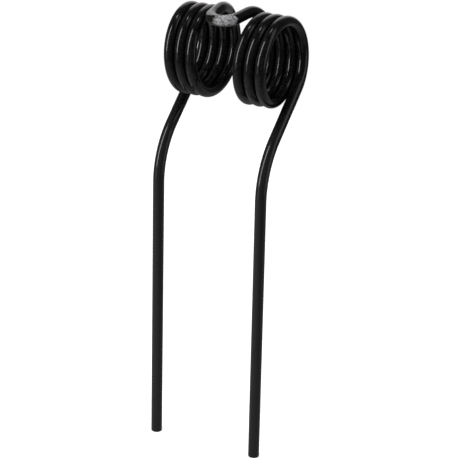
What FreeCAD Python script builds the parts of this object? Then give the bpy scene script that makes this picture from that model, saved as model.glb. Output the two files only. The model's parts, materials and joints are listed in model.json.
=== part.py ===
import math
import os

import FreeCAD
import Part
from FreeCAD import Placement, Rotation, Vector

# Double torsion spring tine, bent cold from a single round steel wire.
# Frame: origin at the centre of the bolt eye, +X along the coils' axis, -Y towards
# the front of the eye, +Z up. The tine is symmetric about the plane X = 0.

# Driving dimensions, in millimetres and degrees. Everything else follows from them.
DIMENSIONS = [
    ("wire_diameter", 12.0),     # round spring wire
    ("tip_round", 1.0),          # dressed rim of each cut end
    ("eye_width", 16.0),         # clear width of the eye, for its bolt
    ("eye_tilt", 5.2),           # the eye dips this much towards its front
    ("arm_spread", 6.3),         # each arm of the eye opens out towards its coil
    ("arm_length", 19.5),        # straight part of an arm
    ("arm_bend_radius", 36.0),   # arm turning down over the back of the coil
    ("lead_length", 7.0),        # straight part between that bend and the coil
    ("lead_angle", 51.0),        # where the wire joins the coil, behind its top
    ("coil_bore", 72.4),         # clear diameter inside a coil
    ("turn_gap", 0.35),          # daylight between close-wound turns, along the axis
    ("coil_turns", 3.0),         # whole turns, before the last quarter down the back
    ("exit_angle", 48.0),        # where the wire leaves the coil, past its back
    ("ease_radius", 100.0),      # slight bends that set the wire into and out of the coil
    ("shank_length", 63.5),      # straight slanted run under the coil
    ("knee_radius", 80.0),       # large bend from the slanted run to the upright leg
    ("leg_length", 289.0),       # straight upright leg, down to the cut end
]

TURN = 360
QUARTER = 90
X_AXIS = Vector(1, 0, 0)
DOWN = Vector(0, 0, -1)
END_PLANE_REACH = 0.01           # how near a cut end its rim is looked for


def sine(degrees):
    return math.sin(math.radians(degrees))


def cosine(degrees):
    return math.cos(math.radians(degrees))


def turned(vector, axis, degrees):
    return Rotation(axis, degrees).multVec(vector)


def unit(vector):
    return vector * (1 / vector.Length)


def coil_heading(radius, pitch, angle):
    """The wire's direction in a coil, at an angle behind the coil's top."""
    around = Vector(0, cosine(angle), -sine(angle)) * (2 * math.pi * radius)
    return unit(around + X_AXIS * pitch)


class WirePath:
    """A wire's centreline, grown one piece at a time with no kink between pieces."""

    def __init__(self, start, heading):
        self.start = start
        self.end = start
        self.heading = heading
        self.edges = []

    def straight(self, length):
        finish = self.end + self.heading * length
        self.edges.append(Part.LineSegment(self.end, finish).toShape())
        self.end = finish

    def bend(self, axis, radius, degrees):
        """Turn about an axis that is square to the heading."""
        spoke = self.heading.cross(axis) * radius
        centre = self.end - spoke
        middle = centre + turned(spoke, axis, degrees / 2)
        finish = centre + turned(spoke, axis, degrees)
        self.edges.append(Part.Arc(self.end, middle, finish).toShape())
        self.end = finish
        self.heading = turned(self.heading, axis, degrees)

    def ease(self, heading, radius):
        """Bend by the slight angle that brings the wire to a wanted heading."""
        axis = self.heading.cross(heading)
        self.bend(unit(axis), radius, math.degrees(math.asin(axis.Length)))

    def coil(self, radius, pitch, angle, sweep):
        """Wind outwards along +X and over the back, from an angle behind the top."""
        spoke = Vector(0, sine(angle), cosine(angle)) * radius
        foot = self.end - spoke
        advance = X_AXIS * (pitch * sweep / TURN)
        no_cone, left_handed = 0, True
        helix = Part.makeHelix(pitch, advance.Length, radius, no_cone, left_handed)
        helix.Placement = Placement(foot, Rotation(spoke, Vector(), X_AXIS, "ZXY"))
        self.edges.extend(helix.Edges)
        self.end = foot + advance + turned(spoke, X_AXIS, -sweep)
        self.heading = coil_heading(radius, pitch, angle + sweep)


def half_tine_path(size):
    """Centreline of the +X half, from the front of the eye to the cut end."""
    eye_radius = (size.eye_width + size.wire_diameter) / 2
    coil_radius = (size.coil_bore + size.wire_diameter) / 2
    coil_pitch = size.wire_diameter + size.turn_gap

    # half of the eye, in its own slightly dipped plane
    forward = Vector(0, -cosine(size.eye_tilt), -sine(size.eye_tilt))
    path = WirePath(forward * eye_radius, X_AXIS)
    path.bend(forward.cross(X_AXIS), eye_radius, QUARTER - size.arm_spread)
    path.straight(size.arm_length)

    # over the back of the coil, in the upright plane that holds the arm
    level = unit(Vector(path.heading.x, path.heading.y, 0))
    climb = math.degrees(math.asin(path.heading.z))
    path.bend(level.cross(DOWN), size.arm_bend_radius, climb + size.lead_angle)
    path.straight(size.lead_length)

    # the coil winds away from the eye and ends below its own back
    path.ease(coil_heading(coil_radius, coil_pitch, size.lead_angle), size.ease_radius)
    wound = size.coil_turns * TURN + QUARTER + size.exit_angle - size.lead_angle
    path.coil(coil_radius, coil_pitch, size.lead_angle, wound)

    # slanted run, knee and leg, in one upright plane
    path.ease(Vector(0, -sine(size.exit_angle), -cosine(size.exit_angle)), size.ease_radius)
    path.straight(size.shank_length)
    path.bend(X_AXIS, size.knee_radius, size.exit_angle)
    path.straight(size.leg_length)
    return path


def check(obj):
    """Stop unless a document object computed and holds a valid shape."""
    if "Invalid" in obj.State or "Error" in obj.State:
        raise RuntimeError(obj.Label + " did not compute")
    if hasattr(obj, "Shape") and (obj.Shape.isNull() or not obj.Shape.isValid()):
        raise RuntimeError(obj.Label + " has no valid shape")


doc = FreeCAD.newDocument("tine")
size = doc.addObject("Spreadsheet::Sheet", "size")
for row, (name, value) in enumerate(DIMENSIONS, start=1):
    size.set("A%d" % row, name)
    size.set("B%d" % row, str(value))
    size.setAlias("B%d" % row, name)
doc.recompute()

# The bends lie in several planes, so the centreline is laid out edge by edge.
path = half_tine_path(size)
centreline = doc.addObject("Part::Feature", "centreline")
centreline.Shape = Part.Wire(path.edges)

# round section, square to the centreline at the front of the eye
section = doc.addObject("Part::Circle", "section")
section.setExpression("Radius", "size.wire_diameter / 2")
section.Placement = Placement(path.start, Rotation(Vector(0, 0, 1), X_AXIS))

right_half = doc.addObject("Part::Sweep", "right_half")
right_half.Sections = [section]
right_half.Spine = (centreline, ["Edge%d" % (n + 1) for n in range(len(path.edges))])
right_half.Solid = True

left_half = doc.addObject("Part::Mirroring", "left_half")
left_half.Source = right_half
left_half.Normal = X_AXIS

bent_wire = doc.addObject("Part::MultiFuse", "bent_wire")
bent_wire.Shapes = [right_half, left_half]
bent_wire.Refine = True
doc.recompute()

# the rim of each cut end is dressed round
ends = path.end.z + END_PLANE_REACH
rims = [n for n, edge in enumerate(bent_wire.Shape.Edges, start=1) if edge.BoundBox.ZMax < ends]
tine = doc.addObject("Part::Fillet", "tine")
tine.Label = "spring_tine"
tine.Base = bent_wire
tine.Edges = [(rim, size.tip_round, size.tip_round) for rim in rims]
tine.Placement = Placement()
doc.recompute()

for obj in doc.Objects:
    check(obj)

os.makedirs("parts", exist_ok=True)
for node in [tine]:
    node.Shape.exportStep("parts/%s.step" % node.Label)
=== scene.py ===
# A double torsion spring tine: one black-painted spring steel wire, hung up by its bolt eye
# in front of a white sweep.
import json
import math

import bmesh
import bpy
from mathutils import Matrix, Vector


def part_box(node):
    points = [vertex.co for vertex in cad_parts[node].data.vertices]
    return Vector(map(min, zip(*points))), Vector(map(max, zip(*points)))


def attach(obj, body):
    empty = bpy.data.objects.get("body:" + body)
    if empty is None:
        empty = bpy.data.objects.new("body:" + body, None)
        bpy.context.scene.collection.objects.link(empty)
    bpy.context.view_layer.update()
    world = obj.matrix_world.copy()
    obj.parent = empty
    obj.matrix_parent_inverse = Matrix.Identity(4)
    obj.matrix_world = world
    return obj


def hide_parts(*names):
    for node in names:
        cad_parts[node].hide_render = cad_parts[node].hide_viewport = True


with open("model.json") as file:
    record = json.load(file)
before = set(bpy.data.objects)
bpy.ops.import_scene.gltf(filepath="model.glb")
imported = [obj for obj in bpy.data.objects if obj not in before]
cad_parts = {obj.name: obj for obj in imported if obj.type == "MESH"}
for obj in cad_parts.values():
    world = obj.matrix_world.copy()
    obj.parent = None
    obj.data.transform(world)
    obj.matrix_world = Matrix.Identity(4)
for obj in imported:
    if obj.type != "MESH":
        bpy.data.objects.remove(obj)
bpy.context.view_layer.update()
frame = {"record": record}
tineLow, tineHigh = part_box("spring_tine")
scene = bpy.context.scene
scene.view_settings.view_transform = "Standard"

xAxis = Vector((1, 0, 0))
down = Vector((0, 0, -1))
fullTurn = math.tau
quarterTurn = math.pi / 2


print("stage: wire")

# sizes in metres, angles in degrees
wireForm = {
    "wireDiameter": 0.012,
    "tipRound": 0.001,
    "eyeWidth": 0.016,       # clear width of the bolt eye
    "eyeTilt": 5.2,          # the eye dips towards its front
    "armSpread": 6.3,        # each arm opens out towards its coil
    "armLength": 0.0195,
    "armBendRadius": 0.036,
    "leadLength": 0.007,
    "leadAngle": 51.0,       # where the coil starts, behind its top
    "coilBore": 0.0724,
    "turnGap": 0.00035,
    "coilTurns": 3.0,
    "exitAngle": 48.0,       # where the coil ends, past its back
    "easeRadius": 0.1,
    "shankLength": 0.0635,
    "kneeRadius": 0.08,
    "sides": 48,             # faces round the wire
    "bendStep": 3.0,         # degrees between rings in the coils
    "arcStep": 0.002,        # metres between rings in the other bends
    "straightStep": 0.012,   # metres between rings in the straights
    "rimSegments": 4,
}


def turned(vector, axis, angle):
    return Matrix.Rotation(angle, 3, axis) @ vector


def coilHeading(radius, pitch, angle):
    around = Vector((0, math.cos(angle), -math.sin(angle))) * (fullTurn * radius)
    return (around + xAxis * pitch).normalized()


# The tube's last ring is drawn out by one step. Each vertex remembers where it would lie
# if the wire were straight: two places across the section and one along the length.
def drawRing(tube, centre, axis, angle, shift, length):
    mesh = tube["mesh"]
    drawn = bmesh.ops.extrude_edge_only(mesh, edges=tube["ring"])["geom"]
    verts = [part for part in drawn if isinstance(part, bmesh.types.BMVert)]
    tube["ring"] = [part for part in drawn if isinstance(part, bmesh.types.BMEdge)]
    if angle:
        turn = Matrix.Rotation(angle, 3, axis)
        bmesh.ops.rotate(mesh, verts=verts, cent=centre, matrix=turn)
    bmesh.ops.translate(mesh, verts=verts, vec=shift)
    tube["run"] += length
    for vert in verts:
        vert[tube["layer"]].z = tube["run"]


def drawStraight(tube, length, step):
    count = max(1, round(length / step))
    for _ in range(count):
        drawRing(tube, None, None, 0, tube["heading"] * (length / count), length / count)
    tube["end"] = tube["end"] + tube["heading"] * length


def drawBend(tube, axis, radius, angle, step):
    spoke = tube["heading"].cross(axis) * radius
    centre = tube["end"] - spoke
    count = max(2, math.ceil(radius * angle / step))
    for _ in range(count):
        drawRing(tube, centre, axis, angle / count, Vector(), radius * angle / count)
    tube["end"] = centre + turned(spoke, axis, angle)
    tube["heading"] = turned(tube["heading"], axis, angle)


def drawEase(tube, heading, radius, step):
    axis = tube["heading"].cross(heading)
    drawBend(tube, axis.normalized(), radius, math.asin(axis.length), step)


def drawCoil(tube, radius, pitch, angle, sweep, step):
    spoke = Vector((0, math.sin(angle), math.cos(angle))) * radius
    foot = tube["end"] - spoke
    advance = pitch * sweep / fullTurn
    count = math.ceil(sweep / step)
    length = math.hypot(radius * sweep, advance) / count
    for _ in range(count):
        drawRing(tube, foot, xAxis, -sweep / count, xAxis * (advance / count), length)
    tube["end"] = foot + xAxis * advance + turned(spoke, xAxis, -sweep)
    tube["heading"] = coilHeading(radius, pitch, angle + sweep)


# Round section at the front of the eye, then the +X half of the wire down to its cut end.
def drawHalfWire(form, eyeCentre, legEnd):
    wireRadius = form["wireDiameter"] / 2
    eyeRadius = (form["eyeWidth"] + form["wireDiameter"]) / 2
    coilRadius = (form["coilBore"] + form["wireDiameter"]) / 2
    pitch = form["wireDiameter"] + form["turnGap"]
    tilt, spread, lead, leave = [math.radians(form[name]) for name in
                                 ("eyeTilt", "armSpread", "leadAngle", "exitAngle")]
    forward = Vector((0, -math.cos(tilt), -math.sin(tilt)))
    start = eyeCentre + forward * eyeRadius
    mesh = bmesh.new()
    layer = mesh.verts.layers.float_vector.new("straightWire")
    ring = bmesh.ops.create_circle(mesh, segments=form["sides"], radius=wireRadius)["verts"]
    for vert in ring:
        vert[layer] = (vert.co.x, vert.co.y, 0)
    # local X of the section looks up and local Y looks out of the eye
    upward = forward.cross(xAxis)
    stand = Matrix((upward, forward, xAxis)).transposed()
    bmesh.ops.transform(mesh, matrix=Matrix.Translation(start) @ stand.to_4x4(), verts=ring)
    tube = {"mesh": mesh, "layer": layer, "ring": list(mesh.edges), "run": 0.0,
            "end": start, "heading": xAxis}
    drawBend(tube, forward.cross(xAxis), eyeRadius, quarterTurn - spread, form["arcStep"] / 2)
    drawStraight(tube, form["armLength"], form["arcStep"])
    level = Vector((tube["heading"].x, tube["heading"].y, 0)).normalized()
    climb = math.asin(tube["heading"].z)
    drawBend(tube, level.cross(down), form["armBendRadius"], climb + lead, form["arcStep"])
    drawStraight(tube, form["leadLength"], form["arcStep"])
    drawEase(tube, coilHeading(coilRadius, pitch, lead), form["easeRadius"], form["arcStep"])
    wound = form["coilTurns"] * fullTurn + quarterTurn + leave - lead
    drawCoil(tube, coilRadius, pitch, lead, wound, math.radians(form["bendStep"]))
    slant = Vector((0, -math.sin(leave), -math.cos(leave)))
    drawEase(tube, slant, form["easeRadius"], form["arcStep"])
    drawStraight(tube, form["shankLength"], form["straightStep"])
    drawBend(tube, xAxis, form["kneeRadius"], leave, form["arcStep"])
    drawStraight(tube, tube["end"].z - legEnd, form["straightStep"])
    bmesh.ops.edgeloop_fill(mesh, edges=tube["ring"])
    bmesh.ops.bevel(mesh, geom=tube["ring"], offset=form["tipRound"], segments=form["rimSegments"],
                    profile=0.5, affect="EDGES", material=-1, clamp_overlap=True)
    return mesh, layer


def buildTine(form, eyeCentre, legEnd):
    mesh, layer = drawHalfWire(form, eyeCentre, legEnd)
    half = list(mesh.verts) + list(mesh.edges) + list(mesh.faces)
    bmesh.ops.mirror(mesh, geom=half, matrix=Matrix(), merge_dist=1e-6, axis="X")
    bmesh.ops.recalc_face_normals(mesh, faces=mesh.faces)
    for vert in mesh.verts:
        if vert.co.x < 0:
            vert[layer].z *= -1      # so that no mark is mirrored
    for face in mesh.faces:
        face.smooth = len(face.verts) == 4
    data = bpy.data.meshes.new("tineWire")
    mesh.to_mesh(data)
    mesh.free()
    piece = bpy.data.objects.new("tineWire", data)
    scene.collection.objects.link(piece)
    return piece


mounts = {mount["name"]: mount for mount in frame["record"]["mounts"]}
tine = buildTine(wireForm, Vector(mounts["eye"]["pos_m"]), tineLow.z)
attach(tine, "root")
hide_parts("spring_tine")
print("stage: wire has", len(tine.data.vertices), "vertices")


print("stage: finish")

# places on the straightened wire are in metres, each a soft edge from one value to the other
paintLook = {
    "black": (0.0018, 0.0018, 0.0020, 1),
    "sootBlack": (0.0085, 0.0085, 0.0092, 1),
    "legBlack": (0.0135, 0.0135, 0.0142, 1),
    "legStart": (0.96, 1.06),          # along the wire from the eye: the paint turns duller
    "sootScale": 420.0,                # scales are in specks or dimples per metre
    "ior": 1.33,
    "gloss": (0.13, 0.18),             # roughness, best and worst
    "glossScale": 90.0,
    "peelScale": 300.0,
    "peelDepth": 0.00002,
    "bareLight": (0.51, 0.51, 0.525, 1),
    "bareDark": (0.15, 0.15, 0.155, 1),
    "bareScale": 620.0,
    "bareStep": 0.00012,               # how deep the bare steel lies under the paint
    "gritScale": 1300.0,
    "gritDepth": 0.00018,
    "raggedScale": 330.0,              # how the edges of the wear wander
    "raggedAlong": 0.008,
    "raggedUp": 0.004,
    "patchLeft": (-0.0034, 0.0024),    # bare patch on the front of the eye
    "patchRight": (0.0156, 0.0166),
    "patchFoot": (-0.0056, -0.0010),
    "patchBrim": (-0.0042, -0.0030),
    "brimFade": (0.0050, 0.0080),
    "patchRough": 0.40,
    "rubHighlightLeft": (-0.0270, -0.0170),     # paler rub over the bend beside it, partly worn paint and partly a painted highlight
    "rubHighlightRight": (-0.0005, 0.0020),
    "rubHighlightOuter": (0.0006, 0.0014),
    "rubHighlightInner": (0.0012, 0.0024),
    "rubHighlightRough": 0.15,
    # painted highlight: dim lilac grey for the top of the bend
    "rubHighlightTint": (0.132, 0.126, 0.137, 1),
    "rubHighlightFade": (-0.0150, 0.0120),
    "oliveTone": (0.050, 0.051, 0.041, 1),
    "oliveScale": 260.0,
    "oliveFoot": (0.0010, -0.0040),
    "oliveSpan": (-0.0160, 0.0150),
    "oliveRough": 0.25,
    "underArmOlive": (0.120, 0.117, 0.102, 1),
    "underArmSpan": (-0.0640, -0.0440),
    "underArmInside": (-0.0025, -0.0050),
}


def addNode(tree, kind, **values):
    node = tree.nodes.new(kind)
    for name, value in values.items():
        if hasattr(node, name):
            setattr(node, name, value)
        else:
            node.inputs[name].default_value = value
    return node


def addNoise(tree, place, scale, detail=2.0):
    node = addNode(tree, "ShaderNodeTexNoise", Scale=scale, Detail=detail)
    tree.links.new(place, node.inputs["Vector"])
    return node.outputs["Fac"]


def addMath(tree, operation, first, second=None, third=None):
    node = addNode(tree, "ShaderNodeMath", operation=operation)
    for socket, value in zip(node.inputs, (first, second, third)):
        if value is None:
            continue
        if isinstance(value, (int, float)):
            socket.default_value = value
        else:
            tree.links.new(value, socket)
    return node.outputs[0]


def addRange(tree, value, low, high, toLow=0.0, toHigh=1.0):
    node = addNode(tree, "ShaderNodeMapRange", interpolation_type="SMOOTHSTEP")
    tree.links.new(value, node.inputs["Value"])
    limits = {"From Min": low, "From Max": high, "To Min": toLow, "To Max": toHigh}
    for name, number in limits.items():
        node.inputs[name].default_value = number
    return node.outputs["Result"]


def addColourMix(tree, factor, first, second):
    node = addNode(tree, "ShaderNodeMix", data_type="RGBA")
    factorIn, firstIn, secondIn = node.inputs[0], node.inputs[6], node.inputs[7]
    tree.links.new(factor, factorIn)
    for socket, value in ((firstIn, first), (secondIn, second)):
        if isinstance(value, tuple):
            socket.default_value = value
        else:
            tree.links.new(value, socket)
    return node.outputs[2]


# A soft-edged window on one coordinate of the straightened wire.
def addWindow(tree, value, low, high, edge):
    rise = addRange(tree, value, low - edge, low + edge)
    fall = addRange(tree, value, high - edge, high + edge, 1.0, 0.0)
    return addMath(tree, "MULTIPLY", rise, fall)


def makePaint(look):
    material = bpy.data.materials.new("blackPaint")
    material.use_nodes = True
    tree = material.node_tree
    shader = tree.nodes["Principled BSDF"]
    wire = addNode(tree, "ShaderNodeAttribute", attribute_name="straightWire")
    place = wire.outputs["Vector"]
    split = addNode(tree, "ShaderNodeSeparateXYZ")
    tree.links.new(place, split.inputs[0])
    up, out, along = split.outputs

    # ragged edges: the coordinates wander by a millimetre or so
    ragged = addMath(tree, "SUBTRACT", addNoise(tree, place, look["raggedScale"], 4.0), 0.5)
    alongRagged = addMath(tree, "MULTIPLY_ADD", ragged, look["raggedAlong"], along)
    upRagged = addMath(tree, "MULTIPLY_ADD", ragged, look["raggedUp"], up)

    # bare patch: the front of the eye, sharp at its right and fading at its left and below
    patch = addMath(tree, "MULTIPLY", addRange(tree, alongRagged, *look["patchLeft"]),
                    addRange(tree, alongRagged, *look["patchRight"], 1.0, 0.0))
    patch = addMath(tree, "MULTIPLY", patch, addRange(tree, upRagged, *look["patchFoot"]))
    brim = addMath(tree, "ADD", out, addRange(tree, along, *look["brimFade"], -0.0045, 0.0))
    patch = addMath(tree, "MULTIPLY", patch, addRange(tree, brim, *look["patchBrim"]))

    # a paler patch over the top of the bend beside it, wider away from the front: partly rubbed
    # paint and partly a painted highlight of the light from above
    rubAndHighlight = addMath(tree, "MULTIPLY", addRange(tree, alongRagged, *look["rubHighlightLeft"]),
                  addRange(tree, alongRagged, *look["rubHighlightRight"], 1.0, 0.0))
    outer = addMath(tree, "MULTIPLY_ADD", along, 0.33, out)
    inner = addMath(tree, "MULTIPLY_ADD", along, 0.12, upRagged)
    rubAndHighlight = addMath(tree, "MULTIPLY", rubAndHighlight, addRange(tree, outer, *look["rubHighlightOuter"], 1.0, 0.0))
    rubAndHighlight = addMath(tree, "MULTIPLY", rubAndHighlight, addRange(tree, inner, *look["rubHighlightInner"]))
    # bare steel on the front of the eye, joined by the rub with its painted highlight
    bareAndHighlight = addMath(tree, "MAXIMUM", patch, rubAndHighlight)

    # olive grey, rougher blotches below the patch and at its left
    oliveMask = addRange(tree, up, *look["oliveFoot"])
    span = addWindow(tree, alongRagged, *look["oliveSpan"], 0.0030)
    oliveMask = addMath(tree, "MULTIPLY", oliveMask, span)
    blotches = addRange(tree, addNoise(tree, place, look["oliveScale"]), 0.30, 0.60)
    oliveMask = addMath(tree, "MULTIPLY", oliveMask, blotches)

    # pale olive grey on the inner side of the arm, where it bends down to the coil
    underArmOlive = addMath(tree, "MULTIPLY", addWindow(tree, along, *look["underArmSpan"], 0.0060),
                    addRange(tree, out, *look["underArmInside"]))

    # colour
    soot = addRange(tree, addNoise(tree, place, look["sootScale"], 4.0), 0.35, 0.70)
    colour = addColourMix(tree, soot, look["black"], look["sootBlack"])
    reach = addMath(tree, "ABSOLUTE", along)
    legs = addRange(tree, reach, *look["legStart"])
    colour = addColourMix(tree, legs, colour, look["legBlack"])
    colour = addColourMix(tree, oliveMask, colour, look["oliveTone"])
    colour = addColourMix(tree, underArmOlive, colour, look["underArmOlive"])
    speckle = addRange(tree, addNoise(tree, place, look["bareScale"]), 0.34, 0.64)
    bareAndHighlightColour = addColourMix(tree, speckle, look["bareDark"], look["bareLight"])
    # painted highlight: the top of the bend takes a dim lilac grey, stronger towards the left
    rubHighlightTint = addRange(tree, along, *look["rubHighlightFade"], 0.80, 0.0)
    bareAndHighlightColour = addColourMix(tree, rubHighlightTint, bareAndHighlightColour, look["rubHighlightTint"])
    colour = addColourMix(tree, bareAndHighlight, colour, bareAndHighlightColour)
    tree.links.new(colour, shader.inputs["Base Color"])

    # gloss
    rough = addNoise(tree, place, look["glossScale"], 3.0)
    rough = addRange(tree, rough, 0.30, 0.75, *look["gloss"])
    for wear, roughness in ((oliveMask, "oliveRough"), (rubAndHighlight, "rubHighlightRough"), (patch, "patchRough")):
        rough = addMath(tree, "MULTIPLY_ADD", wear, look[roughness], rough)
    tree.links.new(rough, shader.inputs["Roughness"])
    shader.inputs["IOR"].default_value = look["ior"]

    # orange peel, and a step down to gritty steel where the paint is gone
    peel = addNoise(tree, place, look["peelScale"])
    height = addMath(tree, "MULTIPLY", peel, look["peelDepth"])
    height = addMath(tree, "MULTIPLY_ADD", bareAndHighlight, -look["bareStep"], height)
    grit = addMath(tree, "MULTIPLY", addNoise(tree, place, look["gritScale"]), bareAndHighlight)
    height = addMath(tree, "MULTIPLY_ADD", grit, look["gritDepth"], height)
    bump = addNode(tree, "ShaderNodeBump", Strength=1.0, Distance=1.0)
    tree.links.new(height, bump.inputs["Height"])
    tree.links.new(bump.outputs[0], shader.inputs["Normal"])
    return material


tine.data.materials.append(makePaint(paintLook))


print("stage: studio")

white = (1, 1, 1, 1)

studio = {
    "floorRadius": 1.2,
    "floorColour": (0.86, 0.86, 0.86, 1),
    "floorRoughness": 0.9,
    "glow": 0.80,                    # what the floor adds for the eye
    "floorShine": 0.15,              # radiance of the floor in reflections
    "room": 0.11,                    # radiance of the dark room
    "lilac": (1.0, 0.95, 0.965, 1),  # tint of the back panel
    "panelSoft": 5.0,                # degrees that a panel's edge fades over, each way
    "aimHeight": -0.045,             # the lamps face the middle of the coils
    "stripSize": (0.40, 1.68),
    "stripHeading": -34.5,           # degrees from -Y towards +X
    "stripRise": 27.2,
    "stripDistance": 1.6,
    "stripRadiance": 13.2,
    "topSize": (0.21, 0.21),
    "topRise": 87.5,
    "topDistance": 1.5,
    "topRadiance": 17.0,
}

# pools of light on the floor: heading, distance, inner and outer radius, radiance
pools = {
    "front": (-43.0, 0.50, 0.2, 0.95, 0.44),
    "back": (130.0, 0.70, 0.2, 0.8, 0.25),
}

# soft panels round the room: heading and its half width, lowest and highest rise, radiance
panels = {
    "back": (203.0, 23.0, -10.0, 49.0, 1.15),
    "side": (99.0, 13.0, -14.0, 60.0, 1.5),
    "low": (-34.5, 14.0, -17.0, 0.0, 1.4),
}


def direction(heading, rise):
    heading, rise = math.radians(heading), math.radians(rise)
    level = Vector((math.sin(heading), -math.cos(heading), 0))
    return level * math.cos(rise) + Vector((0, 0, math.sin(rise)))


# A soft-edged window of sky, as wide and high as the panel.
def addPanel(tree, level, height, panel, soft):
    heading, halfWidth, low, high, _ = panel
    facing = addNode(tree, "ShaderNodeVectorMath", operation="DOT_PRODUCT")
    facing.inputs[1].default_value = direction(heading, 0)
    tree.links.new(level, facing.inputs[0])
    narrow, wide = [math.cos(math.radians(halfWidth + edge)) for edge in (soft, -soft)]
    across = addRange(tree, facing.outputs["Value"], narrow, wide)
    foot = [math.sin(math.radians(low + edge)) for edge in (-soft, soft)]
    head = [math.sin(math.radians(high + edge)) for edge in (-soft, soft)]
    upright = addMath(tree, "MULTIPLY", addRange(tree, height, *foot),
                      addRange(tree, height, *head, 1.0, 0.0))
    return addMath(tree, "MULTIPLY", across, upright)


def makeWorld(values, softPanels):
    world = bpy.data.worlds.new("room")
    scene.world = world
    world.use_nodes = True
    tree = world.node_tree
    shade = tree.nodes["Background"]
    where = addNode(tree, "ShaderNodeTexCoord").outputs["Generated"]
    split = addNode(tree, "ShaderNodeSeparateXYZ")
    tree.links.new(where, split.inputs[0])
    flat = addNode(tree, "ShaderNodeVectorMath", operation="MULTIPLY")
    flat.inputs[1].default_value = (1, 1, 0)
    tree.links.new(where, flat.inputs[0])
    level = addNode(tree, "ShaderNodeVectorMath", operation="NORMALIZE")
    tree.links.new(flat.outputs[0], level.inputs[0])
    total = values["room"]
    for name, panel in softPanels.items():
        lit = addPanel(tree, level.outputs[0], split.outputs["Z"], panel, values["panelSoft"])
        total = addMath(tree, "MULTIPLY_ADD", lit, panel[-1], total)
        if name == "back":
            tint = addColourMix(tree, lit, white, values["lilac"])
            tree.links.new(tint, shade.inputs["Color"])
    path = addNode(tree, "ShaderNodeLightPath")
    seen = addMath(tree, "MAXIMUM", total, path.outputs["Is Camera Ray"])
    tree.links.new(seen, shade.inputs["Strength"])


def makeFloor(values, lightPools, height):
    mesh = bmesh.new()
    bmesh.ops.create_circle(mesh, cap_ends=True, segments=96, radius=values["floorRadius"])
    bmesh.ops.translate(mesh, verts=mesh.verts, vec=(0, 0, height))
    data = bpy.data.meshes.new("floor")
    mesh.to_mesh(data)
    mesh.free()
    floor = bpy.data.objects.new("floor", data)
    scene.collection.objects.link(floor)
    material = bpy.data.materials.new("paleFloor")
    material.use_nodes = True
    tree = material.node_tree
    shader = tree.nodes["Principled BSDF"]
    shader.inputs["Base Color"].default_value = values["floorColour"]
    shader.inputs["Roughness"].default_value = values["floorRoughness"]
    shader.inputs["Specular IOR Level"].default_value = 0.0
    shader.inputs["Emission Color"].default_value = white
    path = addNode(tree, "ShaderNodeLightPath")
    glow = addMath(tree, "MULTIPLY", path.outputs["Is Camera Ray"], values["glow"])
    tree.links.new(glow, shader.inputs["Emission Strength"])
    # reflections show it with soft pools of light before and behind the object
    place = addNode(tree, "ShaderNodeTexCoord").outputs["Object"]
    total = values["floorShine"]
    for heading, distance, near, far, radiance in lightPools.values():
        reach = addNode(tree, "ShaderNodeVectorMath", operation="DISTANCE")
        reach.inputs[1].default_value = direction(heading, 0) * distance + Vector((0, 0, height))
        tree.links.new(place, reach.inputs[0])
        pool = addRange(tree, reach.outputs["Value"], near, far, radiance, 0.0)
        total = addMath(tree, "ADD", pool, total)
    shine = addNode(tree, "ShaderNodeEmission")
    tree.links.new(total, shine.inputs["Strength"])
    mirrored = addMath(tree, "MAXIMUM", path.outputs["Is Glossy Ray"],
                       path.outputs["Is Transmission Ray"])
    mix = addNode(tree, "ShaderNodeMixShader")
    for source, socket in zip((mirrored, shader.outputs[0], shine.outputs[0]), mix.inputs):
        tree.links.new(source, socket)
    tree.links.new(mix.outputs[0], tree.nodes["Material Output"].inputs["Surface"])
    data.materials.append(material)


# A flat lamp that faces the coils. Its power follows from how bright its face looks.
def addLamp(name, size, radiance, target, back, distance):
    lamp = bpy.data.lights.new(name, "AREA")
    lamp.shape = "RECTANGLE"
    lamp.size, lamp.size_y = size
    lamp.energy = radiance * math.pi * size[0] * size[1]
    holder = bpy.data.objects.new(name, lamp)
    scene.collection.objects.link(holder)
    holder.location = target + back * distance
    holder.rotation_euler = (-back).to_track_quat("-Z", "Y").to_euler()
    holder.visible_camera = False


makeWorld(studio, panels)
makeFloor(studio, pools, tineLow.z)
coilCentre = Vector((0, (tineLow.y + tineHigh.y) / 2, studio["aimHeight"]))
addLamp("strip", studio["stripSize"], studio["stripRadiance"], coilCentre,
        direction(studio["stripHeading"], studio["stripRise"]), studio["stripDistance"])
addLamp("top", studio["topSize"], studio["topRadiance"], coilCentre,
        direction(studio["stripHeading"], studio["topRise"]), studio["topDistance"])


print("stage: camera")

lookout = {
    "heading": 27.90,
    "rise": 20.87,
    "roll": 1.27,
    "distance": 2.094,
    "target": (-0.0200, 0.0568, -0.2531),
    "lens": 151.2,
    "sensor": 36.0,
}


def makeCamera(values):
    camera = bpy.data.cameras.new("camera")
    camera.lens = values["lens"]
    camera.sensor_width = values["sensor"]
    camera.clip_end = 50
    holder = bpy.data.objects.new("camera", camera)
    scene.collection.objects.link(holder)
    back = direction(values["heading"], values["rise"])
    stand = (-back).to_track_quat("-Z", "Y").to_matrix().to_4x4()
    roll = Matrix.Rotation(math.radians(values["roll"]), 4, "Z")
    place = Matrix.Translation(Vector(values["target"]) + back * values["distance"])
    holder.matrix_world = place @ stand @ roll
    scene.camera = holder


makeCamera(lookout)
